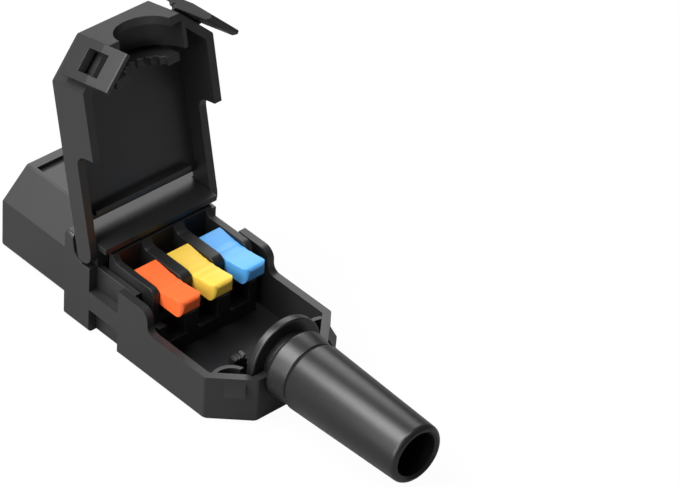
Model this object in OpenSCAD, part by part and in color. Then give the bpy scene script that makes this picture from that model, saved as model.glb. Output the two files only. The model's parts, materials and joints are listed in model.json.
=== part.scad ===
// Rewirable C13 power connector: three lever terminals under a hinged lid, with a snap-fit
// latch on each rear corner and a sleeve for the cord.
// X runs from the mating face to the cord, Y from the line pole to the neutral pole, Z is up.
// It stands on the housing's flat underside, with the lid open and the levers down.

/* [Nose] */
// Length of the mating nose
nose_l = 20; // [17:0.5:24]
// Width of the mating nose
nose_w = 24; // [23.6:0.1:24.4]
// Height of the mating nose
nose_h = 16; // [15.8:0.1:16.2]
// Size of the two polarising bevels on the nose
nose_bevel = 5.5; // [5:0.1:5.8]
// Distance between the line and neutral contacts
pin_pitch = 14; // [13.8:0.1:14.2]
// How far the earth contact lies above the other two
earth_rise = 4; // [3.8:0.1:4.2]
// Width of a contact slot
slot_w = 2.6; // [2.4:0.1:3]
// Height of a contact slot
slot_h = 5.2; // [4.8:0.1:5.6]

/* [Body] */
// Width of the housing
body_w = 28.8; // [28:0.2:31]
// Height of the closed housing
body_h = 18.4; // [18:0.2:20]
// Length of the full-width collar behind the nose
collar_l = 6.7; // [6:0.1:8]
// Length of the waist between the collar and the tray
waist_l = 7.7; // [7:0.1:9]
// How far the waist is set in from each side
waist_inset = 1.85; // [1.6:0.05:2.1]
// Length of the tray's straight sides
tray_l = 22.8; // [22:0.2:28]
// Length of the rear corner bevels along the body
corner_l = 6.3; // [5.5:0.1:7]
// Width of the rear wall between its corner bevels
rear_w = 15.7; // [15.2:0.1:17]
// Wall of the tray
tray_wall = 1.5; // [1.3:0.1:1.7]
// Floor of the tray
floor_t = 1.5; // [1.2:0.1:2]
// Height of the joint face between tray and lid
split_z = 9.4; // [9:0.1:9.8]
// Length of the tall side walls
shoulder_l = 7.8; // [7:0.1:9]

/* [Lid] */
// Angle at which the open lid rests
lid_open = 103; // [95:1:110]
// Top plate of the lid
lid_t = 1.1; // [1:0.1:1.3]
// Side wall of the lid
skirt_t = 1.6; // [1.5:0.05:1.65]
// Distance from the collar's front face to the hinge axis
hinge_dx = 4.7; // [4.4:0.1:5.2]
// Depth of the hinge axis below the top of the lid
hinge_dz = 2; // [1.9:0.1:2.3]
// Radius of the hinge studs
stud_r = 1.1; // [0.9:0.1:1.3]
// Depth of the lid's shallow sides beside the levers
skirt_h = 4.35; // [4.2:0.05:4.6]
// Number of grip ribs on the lid
grip_ribs = 5; // [3:1:5]
// Pitch of the grip ribs
grip_pitch = 2.76; // [2.4:0.02:3]

/* [Latches] */
// Width of a latch loop
latch_w = 7.4; // [6.8:0.1:7.6]
// Width of the window in a latch loop
window_w = 4.3; // [3.8:0.1:4.6]
// Thickness of a latch loop
latch_t = 1.3; // [1.1:0.1:1.4]
// Height of the catch's lower face
catch_z = 6.1; // [5.8:0.1:6.3]
// How far the catch stands out
catch_out = 1.3; // [1:0.1:1.4]

/* [Levers] */
// Distance between neighbouring levers
pole_pitch = 7.3; // [7.2:0.05:7.5]
// Width of a lever
lever_w = 4.8; // [4.4:0.1:4.9]
// Length of a lever from its axle to its tip
lever_reach = 11.3; // [10:0.1:12]
// Distance from the collar to the lever axle
axle_dx = 7.6; // [7.4:0.1:8.2]
// Depth of the lever axle below the top of the lid
axle_dz = 5.8; // [5.6:0.1:6]
// Radius of the lever axle
axle_r = 0.9; // [0.8:0.05:1]
// Running clearance of levers and hinge on their pins
run_fit = 0.06; // [0.03:0.01:0.1]

/* [Terminals] */
// Thickness of the copper bars
bar_t = 0.8; // [0.6:0.1:1]
// Width of the copper bars
bar_w = 3.6; // [3:0.1:3.8]
// Thickness of the clamp springs
spring_t = 0.35; // [0.25:0.05:0.5]
// Thickness of the contact leaves
leaf_t = 0.4; // [0.3:0.05:0.5]

/* [Sleeve] */
// Length of the sleeve behind the housing
sleeve_l = 31.1; // [24:0.1:40]
// Radius of the sleeve's bore
bore_r = 4.2; // [3.5:0.1:4.4]
// Radius of the sleeve's neck in the rear wall
neck_r = 5.3; // [5:0.1:5.5]
// Radius of the sleeve's flange inside the tray
flange_r = 7.8; // [7:0.1:7.9]
// Radius of the sleeve's tube next to the housing
tube_r = 6.4; // [6:0.1:6.6]
// Radius of the sleeve's tube at its end
end_r = 5.6; // [5.3:0.1:6]

/* [Hidden] */

$fn = 64;
black = [0.16, 0.16, 0.165];
orange = [1.0, 0.4, 0.15];
yellow = [1.0, 0.85, 0.2];
blue = [0.3, 0.62, 0.95];
copper = [0.75, 0.45, 0.25];
steel = [0.75, 0.75, 0.77];

eps = 0.01;
gap = 0.2;                                   // between parts that move past each other
seat = 0.05;                                 // between parts that are fitted together

half_w = body_w / 2;
axis_z = body_h / 2;
collar_x = nose_l;
waist_x = collar_x + collar_l;
tray_x = waist_x + waist_l;
corner_x = tray_x + tray_l;
rear_x = corner_x + corner_l;
end_x = rear_x + sleeve_l;
nose_z = axis_z - nose_h / 2;
edge_r = 0.9;                                // soft long edges of the housing
corner_a = atan2(half_w - rear_w / 2, corner_l);
corner_len = norm([corner_l, half_w - rear_w / 2]);
latch_u = corner_len / 2 + 0.6;              // middle of a latch along the corner bevel

// waist, frame and terminals, from the outside in
waist_half = half_w - waist_inset;
waist_wall = 1.2;
frame_half = waist_half - waist_wall - 0.15;
base_z = floor_t + 3.7;                      // floor of the terminal channels
base_top = base_z + 3.2;
axle_x = waist_x + axle_dx;
axle_z = body_h - axle_dz;
rib_w = pole_pitch - lever_w - 0.3;
shoulder_x = tray_x + shoulder_l;
frame_x = waist_x + 1.4;
frame_end = tray_x + 5.6;

// lid and hinge
hinge_x = collar_x + hinge_dx;
hinge_z = body_h - hinge_dz;
lid_in_z = body_h - lid_t;
roof_t = 1.1;
roof_x = waist_x + 2.1;
lid_x = roof_x + gap;
ear_r = hinge_dz;
ear_in = half_w - skirt_t;
ear_gap = 0.2;
cheek_half = ear_in - ear_gap;
skirt_z = body_h - skirt_h;
shoulder_z = skirt_z - 0.25;
step_x = shoulder_x + 2;
lid_z = split_z + 0.1;

// contacts
line_z = axis_z - earth_rise / 2;
earth_z = line_z + earth_rise;
cavity_w = 5;
cavity_h = 6.4;
face_t = 2;                                  // front wall of the nose
retainer_t = 2;
leaf_h = 4.4;
tail_t = 0.6;
tail_w = 3;
tail_z = base_z + bar_t;

// sleeve
flange_t = 1.7;
flange_x = rear_x - max(tray_wall, skirt_t) - seat - flange_t;

// ---------- helpers

function unit(v) = v / norm(v);
function turn(d) = d > 180 ? d - 360 : d < -180 ? d + 360 : d;

// outline whose corners are rounded: each point is [x, y] or [x, y, radius]
function soft(p, n = 6) = [
    for (i = [0:len(p) - 1])
        let (
            a = p[(i + len(p) - 1) % len(p)], b = p[i], c = p[(i + 1) % len(p)],
            r = len(b) > 2 ? b[2] : 0, o = [b[0], b[1]],
            u = unit([a[0], a[1]] - o), v = unit([c[0], c[1]] - o),
            bend = acos(max(-1, min(1, u * v)))
        )
        for (k = [0:r > 0 ? n : 0])
            r == 0 ? o : let (
                q = o + unit(u + v) * r / sin(bend / 2),
                s = o + u * r / tan(bend / 2) - q, e = o + v * r / tan(bend / 2) - q,
                from = atan2(s[1], s[0]), sweep = turn(atan2(e[1], e[0]) - from)
            ) q + r * [cos(from + sweep * k / n), sin(from + sweep * k / n)]
];

// outline of a bent strip of thickness t whose middle line is p
function side_at(p, i, t, s) =
    let (
        u = i > 0 ? unit(p[i] - p[i - 1]) : unit(p[1] - p[0]),
        v = i < len(p) - 1 ? unit(p[i + 1] - p[i]) : u,
        m = unit(u + v), h = t / 2 / (m * u)
    ) p[i] + s * h * [-m[1], m[0]];
function strip(p, t) = concat(
    [for (i = [0:len(p) - 1]) side_at(p, i, t, 1)],
    [for (i = [len(p) - 1:-1:0]) side_at(p, i, t, -1)]);

// arc of points about c
function arc(c, r, from, to, n = 12) =
    [for (k = [0:n]) c + r * [cos(from + (to - from) * k / n), sin(from + (to - from) * k / n)]];

// draws an X-Z outline over a stretch of Y
module across(y0, y1) translate([0, y1, 0]) rotate([90, 0, 0]) linear_extrude(y1 - y0) children();

// draws a Y-Z outline over a stretch of X
module along(x0, x1) translate([x0, 0, 0]) rotate([90, 0, 90]) linear_extrude(x1 - x0) children();

module block(x0, x1, y0, y1, z0, z1) translate([x0, y0, z0]) cube([x1 - x0, y1 - y0, z1 - z0]);

module x_rod(x0, x1, r, y = 0, z = axis_z) translate([x0, y, z]) rotate([0, 90, 0]) cylinder(r = r, h = x1 - x0);

module y_rod(y0, y1, r, x, z) translate([x, y0, z]) rotate([-90, 0, 0]) cylinder(r = r, h = y1 - y0);

module both_sides() {
    children();
    mirror([0, 1, 0]) children();
}

// the whole part is centred along X
module place() translate([-end_x / 2, 0, 0]) children();

// turns what is drawn on the closed lid into its rest position
module on_lid()
    place() translate([hinge_x, 0, hinge_z]) rotate([0, -lid_open, 0])
        translate([-hinge_x, 0, -hinge_z]) children();

// local frame of the rear corner bevel on the line side: X along it, -Y outward
module on_corner() translate([corner_x, -half_w, 0]) rotate([0, 0, corner_a]) children();

// body outline seen from above, set in by w, from x0 to the rear wall
module plan(x0, w) {
    a = corner_a;
    side = half_w - w;
    knee = corner_x - w * tan(a / 2);
    back = rear_w / 2 - w * tan((90 - a) / 2);
    polygon(soft([
        [x0, -side], [knee, -side, 0.8], [rear_x - w, -back, 0.8],
        [rear_x - w, back, 0.8], [knee, side, 0.8], [x0, side]
    ]));
}

// closed housing section with soft long edges
module section() polygon(soft([
    [-half_w, 0, edge_r], [half_w, 0, edge_r], [half_w, body_h, edge_r], [-half_w, body_h, edge_r]
]));

function pole_y(i) = i * pole_pitch;
function pin_y(i) = i * pin_pitch / 2;
function pin_z(i) = i == 0 ? earth_z : line_z;

// ---------- nose housing

module nose_section() {
    h = nose_w / 2;
    polygon(soft([
        [-h, nose_z, 1.6], [h, nose_z, 1.6], [h, nose_z + nose_h - nose_bevel, 0.5],
        [h - nose_bevel, nose_z + nose_h, 0.5], [nose_bevel - h, nose_z + nose_h, 0.5],
        [-h, nose_z + nose_h - nose_bevel, 0.5]
    ]));
}

// space that the lid's ear turns in
module ear_notch() {
    r = ear_r + gap + 0.1;
    low = skirt_z - gap;
    lean = 0.45;                             // the open ear's upper edge leans forward
    across(ear_in - ear_gap, half_w + 1) union() {
        translate([hinge_x, hinge_z]) circle(r);
        polygon([
            [hinge_x - r, hinge_z], [hinge_x + r, hinge_z], [hinge_x + r, body_h + 1],
            [hinge_x - r - lean, body_h + 1], [hinge_x - r - lean, body_h]
        ]);
        translate([hinge_x, low]) square([waist_x - hinge_x + 1, body_h - low + 1]);
    }
}

module nose_housing() color(black) place() {
    slide = 5.8;                             // half length of the groove across the nose
    difference() {
        union() {
            along(0, collar_x + eps) nose_section();
            along(collar_x, waist_x) section();
            block(waist_x - 1, roof_x, -cheek_half, cheek_half, body_h - roof_t, body_h);
            block(waist_x - 1, tray_x, -waist_half, waist_half, 0, floor_t);
            both_sides()
                block(waist_x - 1, tray_x + 2.4, waist_half - waist_wall, waist_half, 0, shoulder_z - 0.3);
        }
        both_sides() ear_notch();
        for (i = [-1:1]) translate([0, pin_y(i), pin_z(i)]) {
            translate([-1, -slot_w / 2, -slot_h / 2]) cube([face_t + 2, slot_w, slot_h]);
            translate([face_t, -cavity_w / 2, -cavity_h / 2])
                cube([waist_x - retainer_t - face_t + eps, cavity_w, cavity_h]);
        }
        block(waist_x - retainer_t, waist_x + 1, -10.6, 10.6, floor_t + 1, body_h - 3.2);
        block(1.9, 3.6, -slide, slide, nose_z + nose_h - 0.8, nose_z + nose_h + 1);
        both_sides() block(tray_x, tray_x + 3, waist_half - waist_wall - 1, waist_half + 1, -1, floor_t + gap);
    }
    // studs that carry the lid
    both_sides() y_rod(cheek_half - 1, half_w - 0.5, stud_r, hinge_x, hinge_z);
}

// ---------- rear tray

module tray_outer() {
    bevel = 0.7;                             // along the bottom edge
    hull() {
        translate([0, 0, bevel]) linear_extrude(split_z - bevel) plan(tray_x, 0);
        linear_extrude(bevel) plan(tray_x, bevel);
    }
}

// tall side wall with its rounded rear corner
module shoulder() {
    foot = 1.6;
    across(half_w - tray_wall, half_w) polygon(soft([
        [tray_x, floor_t], [shoulder_x + foot + 1, floor_t], [shoulder_x + foot + 1, split_z],
        [shoulder_x, split_z, foot], [shoulder_x, shoulder_z, 2.2], [tray_x, shoulder_z]
    ]));
}

// bar that joins the tray to the collar along the waist
bar_z0 = split_z - 4.3;
bar_z1 = split_z - 0.4;
module waist_bar() block(waist_x, tray_x + 1, waist_half + seat, half_w, bar_z0, bar_z1);

// wedge that a latch hooks under
module catch() on_corner() translate([latch_u - window_w / 2 + 0.3, 0, 0])
    rotate([90, 0, 90]) linear_extrude(window_w - 0.6) polygon([
        [eps, catch_z], [-catch_out, catch_z], [-catch_out, catch_z + 0.5], [eps, split_z - 0.5]
    ]);

// round pocket behind each corner bevel, where the catch's mould slide comes out
pocket_r = 2.9;
pocket_t = 0.8;
pocket_z = split_z - 0.4;
module pocket(r, z, h) on_corner() translate([corner_len / 2, 0.6, z]) cylinder(r = r, h = h);

module rear_tray() color(black) place() {
    cradle_x = flange_x - gap;               // room for the flange starts here
    difference() {
        union() {
            difference() {
                tray_outer();
                translate([0, 0, floor_t]) linear_extrude(body_h) plan(tray_x - 1, tray_wall);
            }
            both_sides() shoulder();
            both_sides() waist_bar();
            both_sides() catch();
            both_sides() intersection() {
                difference() {
                    pocket(pocket_r + pocket_t, floor_t - eps, pocket_z - floor_t);
                    pocket(pocket_r, floor_t - 1, body_h);
                }
                linear_extrude(body_h) plan(tray_x, tray_wall / 2);
            }
        }
        x_rod(rear_x - tray_wall - 1, rear_x + 1, neck_r + seat);
        x_rod(cradle_x - 1, rear_x - tray_wall, flange_r + gap);
    }
}

// ---------- lid (drawn closed)

module lid_outer() {
    bevel = 0.6;                             // along the top edge
    hull() {
        translate([0, 0, lid_z]) linear_extrude(body_h - lid_z - bevel) plan(hinge_x - ear_r, 0);
        translate([0, 0, lid_z]) linear_extrude(body_h - lid_z) plan(hinge_x - ear_r, bevel);
    }
}

// what the lid keeps, seen from the side
module lid_side() across(-half_w - 1, half_w + 1) polygon(soft([
    [hinge_x - ear_r, body_h, ear_r - 0.02], [rear_x + 1, body_h], [rear_x + 1, lid_z], [step_x, lid_z],
    [step_x, skirt_z, 2.2], [hinge_x + 0.6, skirt_z, 0.8], [hinge_x - ear_r, hinge_z - ear_r, ear_r - 0.02]
]));

grip_half = 9;                               // half length of the grip ribs
grip_x = rear_x - 5.4;                       // middle of the rearmost grip rib
module grip_rib(x) {
    w = 1.2;
    rise = 0.35;
    block(x - w / 2, x + w / 2, w / 2 - grip_half, grip_half - w / 2, body_h - eps, body_h + rise);
    both_sides() translate([x, grip_half - w / 2, body_h - eps]) cylinder(r = w / 2, h = rise + eps);
}

// knuckle that a latch rocks on
knuckle_z = lid_z + 2.4;
knuckle_r = 0.5;
knuckle_out = 0.75;
module knuckle() on_corner() translate([latch_u - latch_w / 2 + 0.2, 0, 0]) {
    translate([0, -knuckle_out, knuckle_z]) rotate([0, 90, 0]) cylinder(r = knuckle_r, h = latch_w - 0.4);
    translate([0, -knuckle_out, knuckle_z - knuckle_r / 2]) cube([latch_w - 0.4, knuckle_out + 0.3, knuckle_r]);
}

module lid() color(black) on_lid() {
    shell_t = 0.8;
    shell_x = flange_x - 3.4;
    bar_x = roof_x + 1.5;
    difference() {
        union() {
            intersection() {
                difference() {
                    lid_outer();
                    linear_extrude(lid_in_z) plan(0, skirt_t);
                }
                lid_side();
            }
            for (k = [0:grip_ribs - 1]) grip_rib(grip_x - k * grip_pitch);
            both_sides() knuckle();
            // bar across the inside near the hinge
            block(bar_x, bar_x + 0.9, 0.5 - frame_half, frame_half - 0.5, lid_in_z - 1.5, lid_in_z + eps);
            // round shell over the sleeve's flange
            intersection() {
                difference() {
                    x_rod(shell_x, rear_x - skirt_t + eps, flange_r + gap + shell_t);
                    x_rod(shell_x - 1, rear_x, flange_r + gap);
                }
                block(shell_x, rear_x, -half_w, half_w, lid_z, lid_in_z + eps);
            }
        }
        block(0, lid_x, -ear_in, ear_in, 0, body_h + 1);
        both_sides() y_rod(0, half_w - 0.4, stud_r + run_fit, hinge_x, hinge_z);
        x_rod(rear_x - skirt_t - 1, rear_x + 1, neck_r + gap);
        // room for the sleeve's flange in the corner walls
        x_rod(shell_x - 1, rear_x - skirt_t, flange_r + gap);
        // openings behind the finger pads of the latches
        both_sides() on_corner() translate([latch_u - window_w / 2, -1, knuckle_z + 1.6])
            cube([window_w, skirt_t + 2, 3]);
    }
}

// ---------- latches (drawn closed)

// side view of a latch: outward, up
latch_in = 0.6;                              // gap to the bevel face
latch_bottom = split_z - 7;
latch_top = lid_z + 5.6;
function latch_outline() = soft([
    [latch_in, latch_bottom + 1, 0.5], [latch_in + 0.5, latch_bottom, 0.3],
    [latch_in + latch_t - 0.1, latch_bottom, 0.4], [latch_in + latch_t + 0.5, latch_bottom + 5.4, 2],
    [latch_in + latch_t + 0.5, latch_top, 0.7], [latch_in + 0.7, latch_top, 0.25],
    [latch_in + 0.7, knuckle_z + 1.6, 0.5], [latch_in, knuckle_z + 0.9, 0.2]
]);

module latch() on_corner() difference() {
    translate([latch_u - latch_w / 2, 0, 0]) rotate([90, 0, 90]) linear_extrude(latch_w)
        mirror([1, 0]) polygon(latch_outline());
    // window that goes over the catch
    translate([latch_u - window_w / 2, -5, catch_z - gap]) cube([window_w, 5, knuckle_z - 0.9 - catch_z]);
    // seat of the knuckle
    translate([latch_u - latch_w / 2 - 1, -knuckle_out, knuckle_z]) rotate([0, 90, 0])
        cylinder(r = knuckle_r + run_fit, h = latch_w + 2);
}

module latch_line_side() color(black) on_lid() latch();
module latch_neutral_side() color(black) on_lid() mirror([0, 1, 0]) latch();

// ---------- lever frame and levers

rib_top = axle_z + 2.9;                      // flat stretch of the ribs
rib_front = body_h - roof_t - 0.4;           // their tops under the roof

module rib(y0, y1) across(y0, y1) polygon(soft([
    [frame_x, base_top], [frame_end, base_top, 0], [frame_end, rib_top, 1.5],
    [frame_x + 2, rib_top, 1], [frame_x + 0.8, rib_front, 0.2], [frame_x, rib_front]
]));

module lever_frame() color(black) place() {
    outer_w = frame_half - 1.5 * pole_pitch + rib_w / 2;
    difference() {
        union() {
            for (s = [-1, 1]) rib(s * pole_pitch / 2 - rib_w / 2, s * pole_pitch / 2 + rib_w / 2);
            both_sides() rib(frame_half - outer_w, frame_half);
            block(frame_x, frame_x + 1, -frame_half, frame_half, base_top, rib_front);
            block(frame_end - 1.6, frame_end, -frame_half, frame_half, base_top, base_top + 1.6);
        }
        y_rod(-frame_half + 0.5, frame_half + 1, axle_r + run_fit / 2, axle_x, axle_z);
    }
}

module lever_axle() color(steel) place()
    y_rod(-frame_half + 0.6, frame_half - 0.1, axle_r, axle_x, axle_z);

heel_r = 2.1;
lever_top = axle_z + 2.7;
tip_x = axle_x + lever_reach;

// side view of a lever: heel round the axle, dished finger surface, thick tip
function lever_outline() = concat(
    arc([axle_x, axle_z], heel_r, 300, 180, 10),
    [[axle_x - 1.6, lever_top - 0.3], [axle_x - 1.3, lever_top]],
    [for (k = [0:24]) [
        axle_x - 0.4 + k / 24 * (lever_reach - 0.8),
        lever_top + 0.1 * k / 24 - 0.5 * sin(180 * k / 24) + (k > 5 && k < 19 ? 0.07 * sin(k * 90) : 0)
    ]],
    [for (p = arc([tip_x - 0.8, lever_top - 0.45], 0.8, 70, 0, 4)) p],
    [for (p = arc([tip_x - 1.6, lever_top - 1.9], 1.3, -10, -90, 5)) p],
    [[axle_x + 5.5, axle_z - 0.5]]);

module lever(y) color_lever(y) place() difference() {
    intersection() {
        across(y - lever_w / 2, y + lever_w / 2) polygon(lever_outline());
        linear_extrude(body_h) polygon(soft([
            [axle_x - 4, y - lever_w / 2], [tip_x, y - lever_w / 2, 1.3],
            [tip_x, y + lever_w / 2, 1.3], [axle_x - 4, y + lever_w / 2]
        ]));
    }
    y_rod(y - lever_w, y + lever_w, axle_r + run_fit, axle_x, axle_z);
}
module color_lever(y) color(y < 0 ? orange : y > 0 ? blue : yellow) children();

module lever_line() lever(pole_y(-1));
module lever_earth() lever(pole_y(0));
module lever_neutral() lever(pole_y(1));

// ---------- terminals

module terminal_base() color(black) place() {
    channel = bar_w + 0.6;
    x0 = waist_x + 0.3;
    x1 = frame_end + 1.6;
    difference() {
        block(x0, x1, -frame_half, frame_half, floor_t, base_top);
        for (i = [-1:1])
            block(x0 - 1, x1 + 1, pole_y(i) - channel / 2, pole_y(i) + channel / 2, base_z, base_top + 1);
    }
    // sills under the wire entries
    for (i = [-1:1])
        block(x1 - eps, x1 + 0.7, pole_y(i) - channel / 2 - 0.2, pole_y(i) + channel / 2 + 0.2, base_z - 0.7, base_z);
}

module contact_retainer() color(black) place() difference() {
    block(waist_x - retainer_t + seat, waist_x + seat, -10.5, 10.5, floor_t + 1.1, body_h - 3.3);
    for (i = [-1:1]) block(
        waist_x - 3, waist_x + 1, pin_y(i) - tail_w / 2 - 0.1, pin_y(i) + tail_w / 2 + 0.1,
        (i == 0 ? earth_z - 2 : tail_z) - 0.1, (i == 0 ? earth_z - 2 : tail_z) + tail_t + 0.1);
}

// female contact: two sprung leaves, a web, and a tail that lies on the copper bar
module contact(i) color(copper) place() {
    web_x = nose_l - 3.6;
    half = [[face_t + 1, 1.75], [face_t + 2.4, 1.15], [face_t + 6, 1.25], [web_x - 2, 1.6], [web_x, 1.6]];
    tail_end = waist_x + 3;
    exit_z = i == 0 ? earth_z - 2 : tail_z;
    translate([0, pin_y(i), pin_z(i) - leaf_h / 2]) linear_extrude(leaf_h) polygon(strip(
        concat(half, [for (k = [len(half) - 1:-1:0]) [half[k][0], -half[k][1]]]), leaf_t));
    across(pin_y(i) - tail_w / 2, pin_y(i) + tail_w / 2) polygon(strip(
        i == 0
            ? [[web_x, exit_z + tail_t / 2], [waist_x + 0.8, exit_z + tail_t / 2],
               [waist_x + 1.0, tail_z + tail_t / 2], [tail_end, tail_z + tail_t / 2]]
            : [[web_x, exit_z + tail_t / 2], [tail_end, exit_z + tail_t / 2]], tail_t));
}
module contact_line() contact(-1);
module contact_earth() contact(0);
module contact_neutral() contact(1);

module bar(i) color(copper) place()
    block(waist_x + 0.8, frame_end - 1.5, pole_y(i) - bar_w / 2, pole_y(i) + bar_w / 2, base_z, base_z + bar_t);
module bar_line() bar(-1);
module bar_earth() bar(0);
module bar_neutral() bar(1);

// clamp spring: a foot on the bar, a loop, and a leg that slants down onto the bar
module spring(i) color(steel) place() {
    foot_x = waist_x + 3.3;
    z = base_z + bar_t + spring_t / 2;
    // the loop fills the room under the lever's heel
    loop_r = (axle_z - heel_r - gap - spring_t / 2 - z) / 3;
    loop = [foot_x + 1.4, z + 2 * loop_r];
    across(pole_y(i) - bar_w / 2 + 0.2, pole_y(i) + bar_w / 2 - 0.2) polygon(strip(concat(
        [[foot_x + 2.6, z], [foot_x + 0.4, z], [foot_x, z + 0.5]],
        arc(loop, loop_r, 190, 30, 8),
        [[foot_x + 6.6, z + 0.4], [foot_x + 7.2, z + 0.1]]), spring_t));
}
module spring_line() spring(-1);
module spring_earth() spring(0);
module spring_neutral() spring(1);

// ---------- cord sleeve and grips

module cord_sleeve() color(black) place() translate([0, 0, axis_z]) rotate([0, 90, 0]) {
    step = rear_x + 4.7;
    rim = 1;
    rotate_extrude() polygon(concat(
        [[bore_r, flange_x], [flange_r - 0.3, flange_x], [flange_r, flange_x + 0.3],
         [flange_r, flange_x + flange_t - 0.3], [flange_r - 0.3, flange_x + flange_t],
         [neck_r, flange_x + flange_t], [neck_r, rear_x + 0.15],
         [tube_r + 0.1, rear_x + 0.15], [tube_r + 0.3, rear_x + 0.6], [tube_r - 0.3, step - 0.3],
         [tube_r - 0.5, step], [tube_r - 0.1, step], [tube_r, step + 0.3]],
        arc([end_r - rim, end_x - rim], rim, 0, 90, 6),
        [[bore_r + 0.5, end_x], [bore_r, end_x - 0.4]]));
}

grip_t = 1.5;
grip_w = rear_w / 2 - 0.9;                   // half width of the cord grips
grip_x0 = corner_x - 0.9 - grip_t;
tooth = 0.6;

// toothed arc of a cord grip, from one angle to the other
function teeth(r, from, to, n) = [for (k = [0:2 * n]) let (a = from + (to - from) * k / (2 * n))
    (r + (k % 2) * tooth) * [cos(a), sin(a)]];

module cord_grip_lower() color(black) place() {
    top = split_z - 0.6 - axis_z;
    half = grip_w;
    pitch = (half - bore_r - 0.6) / 3;
    along(grip_x0, grip_x0 + grip_t) translate([0, axis_z]) polygon(concat(
        [[-half, floor_t - axis_z], [half, floor_t - axis_z], [half, top]],
        [for (k = [0:2]) each [[half - (k + 0.5) * pitch, top - tooth], [half - (k + 1) * pitch, top]]],
        teeth(bore_r, asin(top / bore_r), -180 - asin(top / bore_r), 9),
        [for (k = [2:-1:0]) each [[(k + 1) * pitch - half, top], [(k + 0.5) * pitch - half, top - tooth]]],
        [[-half, top]]));
}

module cord_grip_upper() color(black) on_lid() {
    low = lid_z + 0.3 - axis_z;
    half = grip_w;
    along(grip_x0, grip_x0 + grip_t) translate([0, axis_z]) polygon(concat(
        [[half, low], [half, lid_in_z - axis_z], [-half, lid_in_z - axis_z], [-half, low]],
        teeth(bore_r, 180 - asin(low / bore_r), asin(low / bore_r), 8)));
}

nose_housing();
rear_tray();
lid();
latch_line_side();
latch_neutral_side();
lever_frame();
lever_axle();
lever_line();
lever_earth();
lever_neutral();
terminal_base();
contact_retainer();
contact_line();
contact_earth();
contact_neutral();
bar_line();
bar_earth();
bar_neutral();
spring_line();
spring_earth();
spring_neutral();
cord_sleeve();
cord_grip_lower();
cord_grip_upper();
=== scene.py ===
"""Looks of the rewirable C13 power connector: materials, softened edges, light and camera."""
import json
import math

import bmesh
import bpy
from mathutils import Matrix, Vector


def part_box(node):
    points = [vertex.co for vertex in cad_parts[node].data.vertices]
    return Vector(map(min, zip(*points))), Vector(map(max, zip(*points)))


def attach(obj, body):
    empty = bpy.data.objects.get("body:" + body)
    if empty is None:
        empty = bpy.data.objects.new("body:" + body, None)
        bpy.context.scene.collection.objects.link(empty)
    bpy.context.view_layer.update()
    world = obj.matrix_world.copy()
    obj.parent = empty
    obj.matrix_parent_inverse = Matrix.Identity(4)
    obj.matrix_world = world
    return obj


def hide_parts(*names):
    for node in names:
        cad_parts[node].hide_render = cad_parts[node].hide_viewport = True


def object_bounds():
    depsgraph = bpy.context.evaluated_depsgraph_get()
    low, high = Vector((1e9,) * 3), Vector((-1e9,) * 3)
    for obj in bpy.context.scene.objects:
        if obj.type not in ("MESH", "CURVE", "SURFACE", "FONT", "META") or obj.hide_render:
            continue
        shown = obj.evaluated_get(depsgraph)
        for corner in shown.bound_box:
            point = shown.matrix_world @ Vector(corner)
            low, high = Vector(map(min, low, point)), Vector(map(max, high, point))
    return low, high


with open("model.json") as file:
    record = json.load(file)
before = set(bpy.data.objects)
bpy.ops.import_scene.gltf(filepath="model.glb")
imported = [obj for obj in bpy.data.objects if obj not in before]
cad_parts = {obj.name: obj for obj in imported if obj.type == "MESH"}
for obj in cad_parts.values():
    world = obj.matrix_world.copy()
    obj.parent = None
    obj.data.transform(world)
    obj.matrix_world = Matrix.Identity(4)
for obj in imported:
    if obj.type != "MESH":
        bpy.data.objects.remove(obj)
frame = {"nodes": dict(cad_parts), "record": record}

MM = 0.001
cad_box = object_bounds()
scene = bpy.context.scene
body_of = {node: body for body, nodes in frame["record"]["behaviour"]["bodies"].items() for node in nodes}


# ---------- materials

MOTTLE_SIZE = 9                  # mm, patches that vary the colour
MOTTLE = 0.06                    # share of the colour that they vary
MOTTLE_DETAIL = 2
GRAIN_DETAIL = 3
GLOSS_SPREAD = 0.12              # share of the roughness that the grain varies
BUMP_STRENGTH = 0.5


def rgb(text):
    """Linear colour of a written sRGB colour such as 'ff7030'."""
    def linear(v):
        return v / 12.92 if v <= 0.04045 else ((v + 0.055) / 1.055) ** 2.4
    return tuple(linear(int(text[i:i + 2], 16) / 255) for i in (0, 2, 4))


def empty_material(name):
    """A new material, its cleared node tree and the socket that takes its surface."""
    material = bpy.data.materials.new(name)
    material.use_nodes = True
    tree = material.node_tree
    tree.nodes.clear()
    return material, tree, tree.nodes.new("ShaderNodeOutputMaterial").inputs["Surface"]


def noise(tree, source, size, detail):
    """Noise with patches size mm across, placed by the source socket."""
    texture = tree.nodes.new("ShaderNodeTexNoise")
    texture.inputs["Scale"].default_value = 1 / (size * MM)
    texture.inputs["Detail"].default_value = detail
    tree.links.new(source, texture.inputs["Vector"])
    return texture.outputs["Fac"]


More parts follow.
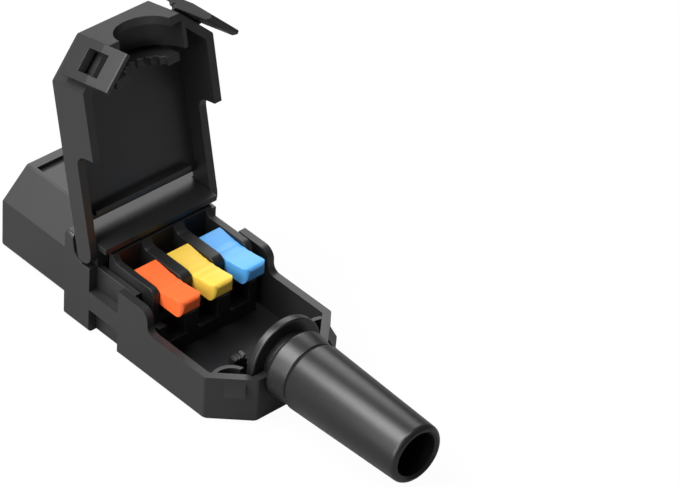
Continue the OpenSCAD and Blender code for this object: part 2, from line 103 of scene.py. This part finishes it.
def moulded(name, color, roughness, grain=0.35, relief=0.012, metallic=0.0, stretch=(1, 1, 1)):
    """Surface with broad colour patches and a grain, mm across, that varies its gloss and relief, mm high."""
    material, tree, surface = empty_material(name)
    new, link = tree.nodes.new, tree.links.new
    shader = new("ShaderNodeBsdfPrincipled")
    shader.inputs["Metallic"].default_value = metallic
    link(shader.outputs["BSDF"], surface)
    place = new("ShaderNodeTexCoord").outputs["Object"]
    spread = new("ShaderNodeMapping")
    spread.inputs["Scale"].default_value = stretch
    link(place, spread.inputs["Vector"])
    fine = noise(tree, spread.outputs["Vector"], grain, GRAIN_DETAIL)
    broad = noise(tree, place, MOTTLE_SIZE, MOTTLE_DETAIL)

    tone = new("ShaderNodeMix")
    tone.data_type = "RGBA"
    tone.inputs["A"].default_value = [c * (1 - MOTTLE) for c in color] + [1]
    tone.inputs["B"].default_value = [min(1, c * (1 + MOTTLE)) for c in color] + [1]
    link(broad, tone.inputs["Factor"])
    link(tone.outputs["Result"], shader.inputs["Base Color"])

    gloss = new("ShaderNodeMapRange")
    gloss.inputs["To Min"].default_value = roughness * (1 - GLOSS_SPREAD)
    gloss.inputs["To Max"].default_value = roughness * (1 + GLOSS_SPREAD)
    link(fine, gloss.inputs["Value"])
    link(gloss.outputs["Result"], shader.inputs["Roughness"])

    bump = new("ShaderNodeBump")
    bump.inputs["Strength"].default_value = BUMP_STRENGTH
    bump.inputs["Distance"].default_value = relief * MM
    link(fine, bump.inputs["Height"])
    link(bump.outputs["Normal"], shader.inputs["Normal"])
    return material


def lever_plastic(name, color):
    """Smoother moulding of the coloured levers."""
    return moulded(name, color, 0.38, grain=0.6, relief=0.006)


shell = moulded("shell_plastic", rgb("222223"), 0.42)
# the pieces deep inside take the shell's plastic in a darker tone: painted shade of the connector's interior
inner_painted_shade = moulded("inner_plastic_painted_shade", rgb("19191a"), 0.42)
rubber = moulded("sleeve_rubber", rgb("161617"), 0.36, grain=0.9, relief=0.006)
lever_finish = {
    "lever_line": lever_plastic("orange_plastic", rgb("f46a34")),
    "lever_earth": lever_plastic("yellow_plastic", rgb("f0c84c")),
    "lever_neutral": lever_plastic("blue_plastic", rgb("58a8ee")),
}
copper = moulded("copper_alloy", rgb("c08050"), 0.32, grain=0.2, relief=0.004, metallic=1.0)
steel = moulded("spring_steel", rgb("b8b8bc"), 0.3, grain=0.15, relief=0.004, metallic=1.0,
                stretch=(0.2, 1, 1))


# ---------- pieces

WELD = 0.002 * MM                # points closer than this are one
FLAT = math.radians(1)           # faces that turn less than this are one
SHARP = math.radians(32)         # edges that turn more than this are rounded
ROUND_STEPS = 3
FACE_WEIGHT = 80                 # how strongly large faces set the normals at their rounded edges


def softened(node, width, material):
    """A copy of a CAD node's mesh with its sharp edges rounded by width, mm, in its place."""
    mesh = frame["nodes"][node].data.copy()
    piece = bpy.data.objects.new(node + "_skin", mesh)
    scene.collection.objects.link(piece)
    work = bmesh.new()
    work.from_mesh(mesh)
    bmesh.ops.remove_doubles(work, verts=work.verts, dist=WELD)
    bmesh.ops.dissolve_limit(work, angle_limit=FLAT, verts=work.verts, edges=work.edges)
    work.to_mesh(mesh)
    work.free()
    mesh.materials.clear()
    mesh.materials.append(material)
    for polygon in mesh.polygons:
        polygon.use_smooth = True
    bevel = piece.modifiers.new("soft_edges", "BEVEL")
    bevel.width = width * MM
    bevel.segments = ROUND_STEPS
    bevel.limit_method = "ANGLE"
    bevel.angle_limit = SHARP
    bevel.use_clamp_overlap = True
    level = piece.modifiers.new("flat_faces", "WEIGHTED_NORMAL")
    level.mode = "FACE_AREA"
    level.weight = FACE_WEIGHT
    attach(piece, body_of[node])
    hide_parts(node)


# edge rounding, mm, and material of each moulded piece
SOFT = {
    "nose_housing": (0.22, shell), "rear_tray": (0.18, shell), "lid": (0.18, shell),
    "latch_line_side": (0.2, shell), "latch_neutral_side": (0.2, shell),
    "lever_frame": (0.15, inner_painted_shade), "terminal_base": (0.12, inner_painted_shade), "contact_retainer": (0.1, inner_painted_shade),
    "cord_grip_lower": (0.1, inner_painted_shade), "cord_grip_upper": (0.1, inner_painted_shade),
    "lever_line": (0.25, lever_finish["lever_line"]), "lever_earth": (0.25, lever_finish["lever_earth"]),
    "lever_neutral": (0.25, lever_finish["lever_neutral"]),
}
for node, (width, material) in SOFT.items():
    softened(node, width, material)


def bend(x, r, radius, start, stop, steps=8):
    """Points along a rounding of the sleeve's profile, about (x, r), between two angles in degrees."""
    angles = (math.radians(start + (stop - start) * k / steps) for k in range(steps + 1))
    return [(x + radius * math.cos(a), r + radius * math.sin(a)) for a in angles]


def sleeve_profile(front, rear_wall, end, bore, flange_r):
    """Half section of the sleeve, front to end: flange, neck in the wall, shoulder, groove and tube."""
    neck_r, shoulder_r, tube_r, end_r = 5.3 * MM, 6.65 * MM, 6.4 * MM, 5.6 * MM
    flange_t, lip, rim = 1.7 * MM, 0.35 * MM, 1.0 * MM
    clear = 0.16 * MM                                # between the rear wall and the shoulder
    round_front, round_back, round_groove = 0.7 * MM, 0.35 * MM, 0.42 * MM
    groove = rear_wall + 4.7 * MM                    # behind the shoulder
    groove_depth = 0.4 * MM
    mouth_flare, mouth_depth = 0.5 * MM, 0.4 * MM    # the bore widens at the sleeve's end
    return (
        [(front, bore)]
        + bend(front + lip, flange_r - lip, lip, 180, 90)
        + bend(front + flange_t - lip, flange_r - lip, lip, 90, 0)
        + [(front + flange_t, neck_r), (rear_wall + clear, neck_r)]
        + bend(rear_wall + clear + round_front, shoulder_r - round_front, round_front, 180, 80)
        + bend(groove - 0.6 * MM, tube_r - 0.55 * MM, round_back, 90, 20, 4)
        + [(groove - 0.12 * MM, tube_r - groove_depth)]
        + bend(groove + 0.45 * MM, tube_r - round_groove, round_groove, 165, 90)
        + bend(end - rim, end_r - rim, rim, 88, 0, 12)
        + [(end, bore + mouth_flare), (end - mouth_depth, bore)])


def turned_sleeve(turns=144):
    """The cord sleeve as one turned form, fine enough for its long highlights."""
    low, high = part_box("cord_sleeve")
    axis_z = (low.z + high.z) / 2
    bore = next(m for m in frame["record"]["mounts"] if m["name"] == "cord_bore")["dims"]["r_mm"] * MM
    rear_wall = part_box("rear_tray")[1].x
    outline = sleeve_profile(low.x, rear_wall, high.x, bore, (high.z - low.z) / 2)
    count = len(outline)
    points, faces = [], []
    for k in range(turns):
        turn = 2 * math.pi * k / turns
        points += [(x, r * math.cos(turn), axis_z + r * math.sin(turn)) for x, r in outline]
        here, after = k * count, (k + 1) % turns * count
        for i in range(count):
            j = (i + 1) % count
            faces.append((here + i, after + i, after + j, here + j))
    mesh = bpy.data.meshes.new("cord_sleeve_skin")
    mesh.from_pydata(points, [], faces)
    mesh.update()
    mesh.shade_smooth()
    mesh.set_sharp_from_angle(angle=math.radians(40))
    mesh.materials.append(rubber)
    piece = bpy.data.objects.new("cord_sleeve_skin", mesh)
    scene.collection.objects.link(piece)
    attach(piece, body_of["cord_sleeve"])
    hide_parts("cord_sleeve")


turned_sleeve()

# thin metal parts keep their exact form
for node, item in frame["nodes"].items():
    if node in SOFT or node == "cord_sleeve":
        continue
    item.data.materials.clear()
    item.data.materials.append(steel if node.startswith(("spring", "lever_axle")) else copper)


# ---------- surroundings

FLOOR_SIDE = 3.0                 # m
FLOOR_DROP = 0.02 * MM           # below the object
FLOOR_GREY = 0.3                 # what the floor reflects onto the object
FLOOR_GLOW = 1.05                # what the camera sees of the floor
GLOW_SHARE = 0.92                # the rest of that view is the lit floor with the object's shadow
WORLD_LIGHT = 0.14


def pale_floor():
    """A floor that is white to the camera, with a faint shadow of the object, and grey to the object."""
    bpy.ops.mesh.primitive_plane_add(size=FLOOR_SIDE, location=(0, 0, cad_box[0][2] - FLOOR_DROP))
    floor = bpy.context.object
    floor.name = "floor"
    material, tree, surface = empty_material("floor_white")
    new, link = tree.nodes.new, tree.links.new
    diffuse = new("ShaderNodeBsdfDiffuse")
    diffuse.inputs["Color"].default_value = (FLOOR_GREY, FLOOR_GREY, FLOOR_GREY, 1)
    glow = new("ShaderNodeEmission")
    glow.inputs["Strength"].default_value = FLOOR_GLOW
    share = new("ShaderNodeMath")
    share.operation = "MULTIPLY"
    share.inputs[1].default_value = GLOW_SHARE
    link(new("ShaderNodeLightPath").outputs["Is Camera Ray"], share.inputs[0])
    mix = new("ShaderNodeMixShader")
    link(share.outputs["Value"], mix.inputs["Fac"])
    link(diffuse.outputs["BSDF"], mix.inputs[1])
    link(glow.outputs["Emission"], mix.inputs[2])
    link(mix.outputs["Shader"], surface)
    floor.data.materials.append(material)


def white_world(strength):
    """Even white light from all sides."""
    world = bpy.data.worlds.new("studio")
    scene.world = world
    world.use_nodes = True
    background = world.node_tree.nodes["Background"]
    background.inputs["Color"].default_value = (1, 1, 1, 1)
    background.inputs["Strength"].default_value = strength


def toward(azimuth, elevation):
    """Direction seen from the object; azimuth 0 is in front (-Y) and 90 is on the cord's side (+X)."""
    a, e = math.radians(azimuth), math.radians(elevation)
    return Vector((math.sin(a) * math.cos(e), -math.cos(a) * math.cos(e), math.sin(e)))


def softbox(name, azimuth, elevation, distance, size, power):
    """Square lamp, size m wide and power W strong, that looks at the object from distance m."""
    lamp = bpy.data.lights.new(name, "AREA")
    lamp.size = size
    lamp.energy = power
    holder = bpy.data.objects.new(name, lamp)
    away = toward(azimuth, elevation)
    holder.location = away * distance
    holder.rotation_euler = away.to_track_quat("Z", "Y").to_euler()
    scene.collection.objects.link(holder)


def photo_camera():
    """Camera at the photograph's viewing angle, leaning a little to one side as the photo does."""
    azimuth, elevation, lean = 45.72, 37.58, math.radians(3.535)
    distance = 796.2 * MM
    aim = Vector((8.58, 16.74, 22.2)) * MM           # puts the object at its place in the frame
    back = toward(azimuth, elevation)
    level = Vector((0, 0, 1)).cross(back).normalized()
    rise = back.cross(level)
    right = level * math.cos(lean) + rise * math.sin(lean)
    up = back.cross(right)
    data = bpy.data.cameras.new("camera")
    data.lens = 246.9
    data.sensor_width = 36
    data.clip_start = 0.01
    camera = bpy.data.objects.new("camera", data)
    scene.collection.objects.link(camera)
    camera.matrix_world = Matrix((right, up, back)).transposed().to_4x4()
    camera.location = aim + back * distance
    scene.camera = camera


pale_floor()
white_world(WORLD_LIGHT)
softbox("key", -40, 58, 0.9, 0.5, 9.0)               # from the front left, on tops and sides
softbox("side", 0, 25, 1.0, 0.8, 9.4)                # broad, on the near sides
softbox("sheen", 226, 36, 1.0, 0.5, 2.9)             # from behind, glances off the tops toward the camera
softbox("above", 20, 86, 1.0, 0.3, 2.6)              # down into the tray
photo_camera()
scene.view_settings.view_transform = "Standard"
